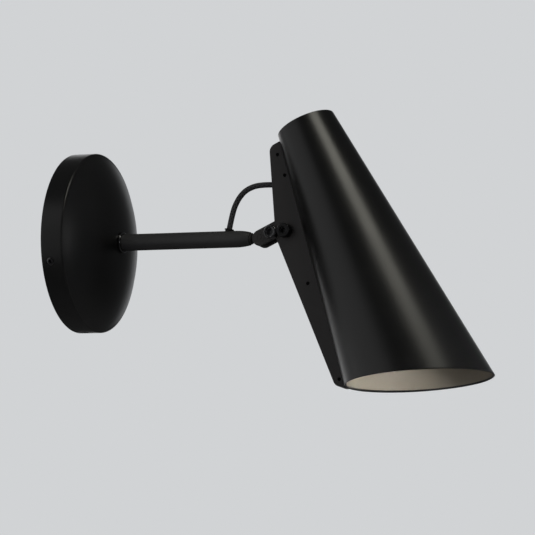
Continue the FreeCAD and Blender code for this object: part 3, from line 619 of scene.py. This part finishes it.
def make_plate_cover():
    """The domed cover: a turned shell, bored at the rim for its set screws."""
    plate = settings("plate")
    low_ring, bore_length, broken_edge = 0.0045, 0.008, 0.00018
    steps = 18
    outer, wall, edge = plate.radius, plate.wall, plate.edge
    flat = outer - edge
    inner_flat = flat - wall
    inner_edge = dome_height(plate, inner_flat, wall)
    rings = [(outer, 0.0), (outer, low_ring), (outer, plate.rim - edge)]
    rings += arc((flat, plate.rim - edge), edge, 0, 90, 6)[1:]
    for i in range(1, steps + 1):
        radius = flat + (plate.bush - flat) * i / steps
        rings.append((radius, dome_height(plate, radius)))
    for i in range(steps + 1):
        radius = plate.bush + (inner_flat - plate.bush) * i / steps
        rings.append((radius, dome_height(plate, radius, wall)))
    rings += arc((inner_flat, inner_edge - edge), edge, 90, 0, 4)[1:]
    rings += [(outer - wall, 0.0), (outer, 0.0)]
    piece = lathe("plate_cover", rings, settings("finishes").sides)
    piece.data.transform(ALONG_X)
    for place in set_screw_places():
        bore(piece, plate.screw_hole, bore_length, place)
    soften(piece, broken_edge, 2, 50)
    smooth(piece, 28)
    settle(piece, "wall", "satin_black", ["wall_canopy"])


def make_collar():
    """The bush that carries the arm.  Its collar shows in front of the dome."""
    arm = settings("arm")
    clearance, seat_gap = 0.00005, 0.00015
    back_edge, face_edge, lead_in = 0.0002, 0.0006, 0.0003
    inner_end, face = 0.012, arm.collar_face
    bore_radius = arm.radius + clearance
    back = dome_height(settings("plate"), arm.collar) + seat_gap
    body = arm.bush_body
    rings = [(bore_radius, inner_end), (body, inner_end), (body, back)]
    rings += [(arm.collar - back_edge, back), (arm.collar, back + back_edge)]
    rings += arc((arm.collar - face_edge, face - face_edge), face_edge, 0, 90, 5)
    rings += [(bore_radius + lead_in, face), (bore_radius, face - lead_in)]
    rings.append(rings[0])
    piece = lathe("swivel_collar", rings, 96)
    piece.data.transform(ALONG_X)
    smooth(piece, 30)
    settle(piece, "wall", "bright_black", ["swivel_bush"])


def make_arm_tube():
    """The arm's tube, with its drawn-in tip and the slanted hole for the cable."""
    arm = settings("arm")
    end_edge, tip_edge, bore_step = 0.0002, 0.0008, 0.0015
    exit_radius, exit_length, exit_slope = 0.00247, 0.009, radians(82.0)
    exit_point = (0.0991 + 0.0006, 0, 0.0045)
    bore_radius = arm.radius - arm.wall
    nose_bore = arm.nose_radius - arm.wall
    nose = arm.tip - arm.nose
    rings = [(bore_radius, arm.start), (arm.radius - end_edge, arm.start)]
    rings += [(arm.radius, arm.start + end_edge)]
    rings += [(arm.radius, arm.start + (nose - arm.start) * i / 6) for i in range(1, 7)]
    run, drop = arm.tip - tip_edge - nose, arm.radius - arm.nose_radius
    for share in (i / 8 for i in range(1, 9)):
        rings.append((arm.radius - drop * share**2, nose + run * share))
    tip_centre = (arm.nose_radius - tip_edge, arm.tip - tip_edge)
    rings += arc(tip_centre, tip_edge, 0, 90, 5)[1:]
    rings += [(nose_bore, arm.tip), (nose_bore, nose), (bore_radius, nose - bore_step)]
    rings.append(rings[0])
    piece = lathe("arm_tube_painted", rings, 96)
    piece.data.transform(ALONG_X)
    lean = Matrix.Rotation(radians(90) - exit_slope, 4, "Y")
    bore(piece, exit_radius, exit_length, Matrix.Translation(exit_point) @ lean)
    smooth(piece, 30)
    # The arm takes arm_black, whose lighter colour is painted light.
    settle(piece, "arm", "arm_black", ["arm_tube"])


def slant_mouth(piece, apex, mouth):
    """Slides a cone's points along its lines to the apex, so that its rings turn from
    level at the top to the slant of the mouth at the lip."""
    shade = settings("shade")
    flare, slant = tan(shade.taper), tan(shade.slope)
    for vertex in piece.data.vertices:
        share = (shade.top - vertex.co.z) / shade.length
        lean = slant * flare * vertex.co.x / hypot(vertex.co.x, vertex.co.y)
        lip = (mouth - lean * apex) / (1 - lean)
        height = shade.top + (lip - shade.top) * share
        scale = (apex - height) / (apex - vertex.co.z)
        vertex.co = (vertex.co.x * scale, vertex.co.y * scale, height)


def open_seam(piece):
    """Opens a slot in the back of the cone and turns a flange out along each side."""
    shade = settings("shade")
    slot_top, slot_foot, flange_top, flange_width = 0.045, -0.032, 0.0436, 0.0042
    bpy.ops.object.mode_set(mode="EDIT")
    for place, normal in (
        ((0, shade.seam, 0), (0, 1, 0)),
        ((0, -shade.seam, 0), (0, 1, 0)),
        ((0, 0, slot_top), (0, 0, 1)),
        ((0, 0, slot_foot), (0, 0, 1)),
    ):
        bpy.ops.mesh.select_all(action="SELECT")
        bpy.ops.mesh.bisect(plane_co=place, plane_no=normal)

    def in_seam(mesh, face):
        return all(
            abs(p.y) < shade.seam + SLACK
            and p.x < shade.axis
            and slot_foot - SLACK < p.z < slot_top + SLACK
            for p in corners(mesh, face)
        )

    def on_seam(mesh, edge):
        return all(
            abs(abs(p.y) - shade.seam) < JOINED
            and p.x < shade.axis
            and slot_foot - SLACK < p.z < flange_top
            for p in corners(mesh, edge)
        )

    choose("FACE", in_seam)
    bpy.ops.mesh.delete(type="FACE")
    choose("EDGE", on_seam)
    outwards = (-flange_width, 0, 0)
    bpy.ops.mesh.extrude_region_move(TRANSFORM_OT_translate={"value": outwards})
    bpy.ops.mesh.select_all(action="SELECT")
    bpy.ops.mesh.remove_doubles(threshold=JOINED)
    bpy.ops.object.mode_set(mode="OBJECT")


def point_outwards(piece):
    """Turns an open skin so that its foremost face looks to the front."""
    bpy.ops.object.mode_set(mode="EDIT")
    bpy.ops.mesh.select_all(action="SELECT")
    bpy.ops.mesh.normals_make_consistent(inside=False)
    bpy.ops.object.mode_set(mode="OBJECT")
    front = max(piece.data.polygons, key=lambda face: face.center.x)
    if front.normal.x < 0:
        bpy.ops.object.mode_set(mode="EDIT")
        bpy.ops.mesh.select_all(action="SELECT")
        bpy.ops.mesh.flip_normals()
        bpy.ops.object.mode_set(mode="OBJECT")


def make_shade():
    """Cone of rolled sheet, cut on a slant, with two flanges along its seam."""
    shade = settings("shade")
    count, painted_lip, lip_edge = 24, 0.0012, 0.0003
    paint, lining = 0, 1
    mouth = shade.top - shade.length
    flare = tan(shade.taper)
    apex = shade.top + shade.top_radius / flare
    heights = [shade.top - shade.length * i / count for i in range(count + 1)]
    heights.insert(count, mouth + painted_lip)
    rings = [((apex - h) * flare, h) for h in heights]
    piece = lathe("shade_cone_painted", rings, settings("finishes").sides)
    slant_mouth(piece, apex, mouth)
    piece.data.transform(Matrix.Translation((shade.axis, 0, 0)))
    open_seam(piece)
    point_outwards(piece)
    give_finish(piece, finish_for("satin_black"))
    piece.data.materials.append(finish_for("lining"))
    apply_modifier(
        piece,
        "SOLIDIFY",
        thickness=shade.wall,
        offset=-1.0,
        use_even_offset=True,
        material_offset=lining,
        material_offset_rim=paint,
    )
    soften(piece, lip_edge, 3, 60)
    for face in piece.data.polygons:
        forward = face.center.x - shade.axis
        over_mouth = tan(shade.slope) * forward + face.center.z - mouth
        if face.material_index == lining and over_mouth < painted_lip:
            face.material_index = paint
    smooth(piece, 30)
    piece.data.transform(HEAD)
    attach(piece, "head")
    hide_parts("shade_cone")


def make_globe():
    """The lamp's globe, open at the neck and closed there by a flat face."""
    shade = settings("shade")
    radius, steps = shade.globe, 24
    neck, neck_height = 0.0086, -0.00905
    shoulder = asin(0.645)
    turns = [shoulder + (pi - shoulder) * i / steps for i in range(steps)]
    rings = [(neck, neck_height)]
    rings += [(radius * sin(t), shade.globe_height + radius * cos(t)) for t in turns]
    rings.append((0, shade.globe_height - radius))
    piece = lathe("lamp_globe_opal", rings, 96, (shade.axis, 0, 0))
    bpy.ops.object.mode_set(mode="EDIT")

    def at_neck(mesh, edge):
        return sum(p.z for p in corners(mesh, edge)) / 2 > neck_height - SLACK

    choose("EDGE", at_neck)
    bpy.ops.mesh.edge_face_add()
    bpy.ops.object.mode_set(mode="OBJECT")
    smooth(piece, 35)
    settle(piece, "head", "opal_glass", ["lamp_globe"])


# Arm frame, across and up: the points of the loop's route from the tube to the spine.
LOOP_ROUTE = [
    (0.1000, 0.00645),
    (0.1012, 0.0135),
    (0.1032, 0.0212),
    (0.1077, 0.0283),
    (0.1139, 0.0319),
    (0.1211, 0.0329),
    (0.12792, 0.03262),
]


def loop_path():
    """Points of the smooth line along the loop's route, in the row frame."""
    line = bpy.data.curves.new("cable_line", "CURVE")
    line.dimensions = "3D"
    line.resolution_u = 16
    spline = line.splines.new("NURBS")
    spline.points.add(len(LOOP_ROUTE) - 1)
    for point, (across, up) in zip(spline.points, LOOP_ROUTE):
        point.co = (*(ARM @ Vector((across, 0, up))), 1)
    spline.order_u = 3
    spline.use_endpoint_u = True
    guide = bpy.data.objects.new("cable_line", line)
    bpy.context.scene.collection.objects.link(guide)
    path = [v.co.copy() for v in bpy.data.meshes.new_from_object(guide).vertices]
    bpy.data.objects.remove(guide)
    return path


def make_cable_loop():
    """The free cable between arm and shade, a woven tube along the loop's path."""
    diameter, around = 0.0034, 28
    path = loop_path()
    across = ARM @ Vector((0, 1, 0))
    points, faces, reach = [], [], [0.0]
    for a, b in zip(path, path[1:]):
        reach.append(reach[-1] + (b - a).length)
    for i, centre in enumerate(path):
        ahead = path[min(i + 1, len(path) - 1)] - path[max(i - 1, 0)]
        up = ahead.normalized().cross(across)
        for j in range(around):
            turn = 2 * pi * j / around
            points.append(centre + (across * cos(turn) + up * sin(turn)) * diameter / 2)
    for i in range(len(path) - 1):
        here, next_ring = i * around, (i + 1) * around
        for j in range(around):
            after = (j + 1) % around
            faces.append((here + j, here + after, next_ring + after, next_ring + j))
    sides = len(faces)
    faces.append(tuple(reversed(range(around))))
    faces.append(tuple(sides + j for j in range(around)))
    mesh = bpy.data.meshes.new("cable_loop_woven")
    mesh.from_pydata(points, [], faces)
    layer = mesh.uv_layers.new(name="along")
    for number, face in enumerate(mesh.polygons):
        row, column = divmod(number, around)
        for corner, loop in enumerate(face.loop_indices):
            if number >= sides:
                layer.data[loop].uv = (corner / around, 0)
                continue
            step_round, step_on = ((0, 0), (1, 0), (1, 1), (0, 1))[corner]
            layer.data[loop].uv = ((column + step_round) / around, reach[row + step_on])
    piece = bpy.data.objects.new("cable_loop_woven", mesh)
    bpy.context.scene.collection.objects.link(piece)
    select_only(piece)
    finish_mesh(piece, "cable_loop_woven")
    smooth(piece, 40)
    give_finish(piece, finish_for("textile"))
    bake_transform(piece)
    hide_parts("cable_loop")


# ------------------------------------------------------------------ operators


class SPOTLIGHT_OT_stage(bpy.types.Operator):
    """Adds the camera, the soft lights, the background and the floor"""

    bl_idname = "spotlight.stage"
    bl_label = "Stage"

    def execute(self, context):
        scene = context.scene
        scene.view_settings.view_transform = "Standard"
        self.camera(scene)
        self.lights(scene)
        self.background(scene)
        self.floor()
        return {"FINISHED"}

    def camera(self, scene):
        """A long lens from the light's left front and a little below it."""
        upward = 3.883
        lens = bpy.data.cameras.new("camera")
        lens.sensor_width = 36.0
        lens.lens = 269.16
        lens.clip_end = 50.0
        camera = bpy.data.objects.new("camera", lens)
        camera.location = (1.044476, -2.222863, -0.180977)
        camera.rotation_euler = (radians(90 + upward), 0, radians(CAMERA_TURN))
        scene.collection.objects.link(camera)
        scene.camera = camera

    def lights(self, scene):
        """Soft square lights.  A fill lights the object but isn't mirrored in it."""
        centre, mouth = Vector((0.14, 0, -0.01)), Vector((0.215, 0, -0.085))
        all_round, narrow = 180.0, 24.0
        # Name, target, degrees right of the camera, degrees up, distance, width, watts
        # and spread in degrees.
        for name, aim, spin, height, distance, width, power, spread in (
            ("key_softbox", centre, 30.0, 62.0, 1.0, 0.42, 2.35, all_round),
            ("left_softbox", centre, -82.0, 10.0, 1.6, 2.0, 5.3, all_round),
            ("back_left_softbox", centre, -136.0, 12.0, 1.6, 1.6, 1.9, all_round),
            ("right_softbox", centre, 66.0, 6.0, 1.6, 0.5, 0.7, all_round),
            ("edge_strip", centre, 28.0, 2.0, 1.4, 0.25, 0.4, all_round),
            ("front_fill", centre, -40.0, -7.0, 1.5, 0.8, 4.2, all_round),
            ("mouth_fill", mouth, 60.0, -17.0, 0.5, 0.1, 0.16, narrow),
            ("back_softbox", centre, 202.0, 12.0, 1.8, 1.2, 2.6, all_round),
        ):
            area = bpy.data.lights.new(name, "AREA")
            area.shape = "SQUARE"
            area.size = width
            area.energy = power
            area.spread = radians(spread)
            if name == "key_softbox":
                area.color = (1.0, 0.985, 0.87)
            lamp = bpy.data.objects.new(name, area)
            turn, rise = radians(CAMERA_TURN - 90 + spin), radians(height)
            out = Vector((cos(turn) * cos(rise), sin(turn) * cos(rise), sin(rise)))
            lamp.location = aim + out * distance
            lamp.rotation_euler = out.to_track_quat("Z", "Y").to_euler()
            lamp.visible_camera = False
            lamp.visible_glossy = not name.endswith("fill")
            scene.collection.objects.link(lamp)

    def background(self, scene):
        """A plain pale background for what the camera sees.  Reflections see it behind
        the light, as the photograph has it, and a dim studio elsewhere.  A weaker even
        light comes from all round."""
        dim, even_light = 0.08, 0.18
        behind_light = (-0.381, 0.922, 0.068)
        faded, full = cos(radians(28)), cos(radians(9))
        world = bpy.data.worlds.new("studio")
        world.use_nodes = True
        scene.world = world
        world.node_tree.nodes.clear()
        studio = Nodes(world.node_tree)
        seen = studio.node("LightPath", "Is Camera Ray")
        mirrored = studio.node(
            "Math",
            0,
            {"operation": "MAXIMUM"},
            n0=studio.node("LightPath", "Is Glossy Ray"),
            n1=studio.node("LightPath", "Is Transmission Ray"),
        )
        facing = studio.node(
            "VectorMath",
            "Value",
            {"operation": "DOT_PRODUCT"},
            n0=studio.node("TexCoord", "Generated"),
            n1=behind_light,
        )
        behind = studio.node(
            "MapRange",
            0,
            {"interpolation_type": "SMOOTHSTEP"},
            Value=facing,
            **{"From Min": faded, "From Max": full},
        )
        backdrop = studio.node(
            "Background",
            0,
            Color=(*settings("finishes").backdrop, 1),
            Strength=seen + mirrored * (dim + behind * (1 - dim)),
        )
        fill = studio.node("Background", 0, Color=(1, 1, 1, 1), Strength=even_light)
        blend = studio.node("MixShader", 0, n0=seen + mirrored, n1=fill, n2=backdrop)
        studio.node("OutputWorld", None, Surface=blend)

    def floor(self):
        """A floor well below the light, pale to the camera and dim to the light."""
        width, height = 14.0, -1.6
        pale, dim, glow = (0.88, 0.9, 0.91), (0.2, 0.2, 0.2), 0.6
        clear_selection()
        bpy.ops.mesh.primitive_plane_add(size=width, location=(0, 0, height))
        ground = bpy.context.object
        ground.name = "floor"
        finish = Finish("floor_paint")
        seen = finish.node("LightPath", "Is Camera Ray")
        give_finish(
            ground,
            finish.surface(
                Base_Color=finish.tint(dim, pale, seen),
                Emission_Color=finish.tint((0, 0, 0), shaded(pale, glow), seen),
                Emission_Strength=1.0,
                Roughness=0.9,
                Specular_IOR_Level=0.1,
            ),
        )


class SPOTLIGHT_OT_plate(bpy.types.Operator):
    """Models the domed wall plate with its set screw holes and the arm's collar"""

    bl_idname = "spotlight.plate"
    bl_label = "Wall plate"

    def execute(self, context):
        make_plate_cover()
        make_collar()
        make_set_screws()
        return {"FINISHED"}


class SPOTLIGHT_OT_arm(bpy.types.Operator):
    """Models the arm's tube and refines the parts at its tip"""

    bl_idname = "spotlight.arm"
    bl_label = "Arm"

    def execute(self, context):
        make_arm_tube()
        # The stud takes matte_black, lightened as painted light.
        refined("joint_stud_painted", "joint_stud", "matte_black", 0.00025)
        refined("arm_grommet_rubber", "arm_grommet", "rubber", 0.0001)
        return {"FINISHED"}


class SPOTLIGHT_OT_joint(bpy.types.Operator):
    """Refines the clamp plates, screws and nuts of the tilting joint"""

    bl_idname = "spotlight.joint"
    bl_label = "Tilting joint"

    def execute(self, context):
        # The clamp plates take matte_black, lightened as painted light.
        refined("clamp_plate_front", "clamp_plate_near", "matte_black", 0.00035)
        refined("clamp_plate_back", "clamp_plate_far", "matte_black", 0.00035)
        refined("clamp_socket_screw", "clamp_screw", "bright_black", 0.0002)
        refined("clamp_hex_nut", "clamp_nut", "black_steel", 0.00025)
        refined("anchor_round_bolt", "anchor_bolt", "black_steel", 0.0002)
        refined("anchor_hex_nut", "anchor_nut", "black_steel", 0.00025)
        # The pin takes matte_black, lightened as painted light.
        refined("pin", "hinge_pin", "matte_black", 0.0002)
        return {"FINISHED"}


class SPOTLIGHT_OT_shade(bpy.types.Operator):
    """Models the conical shade and refines its folded spine and vented top plate"""

    bl_idname = "spotlight.shade"
    bl_label = "Shade"

    def execute(self, context):
        make_shade()
        # The spine takes matte_black, lightened as painted light.
        refined("spine_folded", "spine_cover", "matte_black", 0.0003)
        # The spine's screws are nearly black as painted shade of their holes.
        refined("spine_side_screws", "spine_screws", "screw_black_painted_shade", 0.00015)
        refined("spine_grommet_rubber", "spine_grommet", "rubber", 0.0001)
        refined("top_plate_vented", "shade_top_plate", "satin_black", 0.0002)
        refined("nipple", "holder_nipple", "zinc_steel", 0.0002)
        refined("lock_nut", "holder_lock_nut", "black_steel", 0.0003)
        return {"FINISHED"}


class SPOTLIGHT_OT_lamp(bpy.types.Operator):
    """Models the lamp's globe and refines the lampholder"""

    bl_idname = "spotlight.lamp"
    bl_label = "Lampholder and lamp"

    def execute(self, context):
        make_globe()
        refined("holder_cap", "lampholder_cap", "phenolic", 0.0003)
        refined("holder_body", "lampholder_body", "phenolic", 0.0003)
        refined("lamp_screw_cap", "lamp_cap", "cap_metal", 0.0002)
        return {"FINISHED"}


class SPOTLIGHT_OT_cable(bpy.types.Operator):
    """Models the woven cable that loops from the arm into the shade's spine"""

    bl_idname = "spotlight.cable"
    bl_label = "Cable"

    def execute(self, context):
        make_cable_loop()
        return {"FINISHED"}


class SPOTLIGHT_OT_inner_parts(bpy.types.Operator):
    """Gives each remaining inner part the finish of its own material"""

    bl_idname = "spotlight.inner_parts"
    bl_label = "Inner parts"

    def execute(self, context):
        for node, piece in frame["nodes"].items():
            if piece.hide_render:
                continue
            for place in piece.material_slots:
                place.material = finish_for(plain_slot(node))
        return {"FINISHED"}


def plain_slot(node):
    """Inner lengths of cable have no UV map, so they take the plain rubber finish."""
    return "rubber" if SLOTS[node] == "textile" else SLOTS[node]


class SPOTLIGHT_PT_panel(bpy.types.Panel):
    bl_idname = "SPOTLIGHT_PT_panel"
    bl_label = "Wall spotlight"
    bl_space_type = "VIEW_3D"
    bl_region_type = "UI"
    bl_category = "Spotlight"

    def draw(self, context):
        for group in GROUPS:
            box = self.layout.box()
            box.label(text=group.title())
            holder = settings(group)
            for name in holder.bl_rna.properties.keys():
                if name not in ("rna_type", "name"):
                    box.prop(holder, name)
        for operator in OPERATORS:
            self.layout.operator(operator.bl_idname)


GROUPS = {
    "plate": SpotlightPlateSizes,
    "arm": SpotlightArmSizes,
    "shade": SpotlightShadeSizes,
    "finishes": SpotlightFinishes,
}
OPERATORS = (
    SPOTLIGHT_OT_stage,
    SPOTLIGHT_OT_cable,
    SPOTLIGHT_OT_plate,
    SPOTLIGHT_OT_arm,
    SPOTLIGHT_OT_joint,
    SPOTLIGHT_OT_shade,
    SPOTLIGHT_OT_lamp,
    SPOTLIGHT_OT_inner_parts,
)


def register():
    for name, group in GROUPS.items():
        bpy.utils.register_class(group)
        setattr(bpy.types.Scene, "spotlight_" + name, PointerProperty(type=group))
    for item in (*OPERATORS, SPOTLIGHT_PT_panel):
        bpy.utils.register_class(item)


def unregister():
    for item in reversed((*OPERATORS, SPOTLIGHT_PT_panel)):
        bpy.utils.unregister_class(item)
    for name, group in GROUPS.items():
        delattr(bpy.types.Scene, "spotlight_" + name)
        bpy.utils.unregister_class(group)


def main():
    register()
    for operator in OPERATORS:
        group, name = operator.bl_idname.split(".")
        getattr(getattr(bpy.ops, group), name)()


if __name__ == "__main__":
    main()
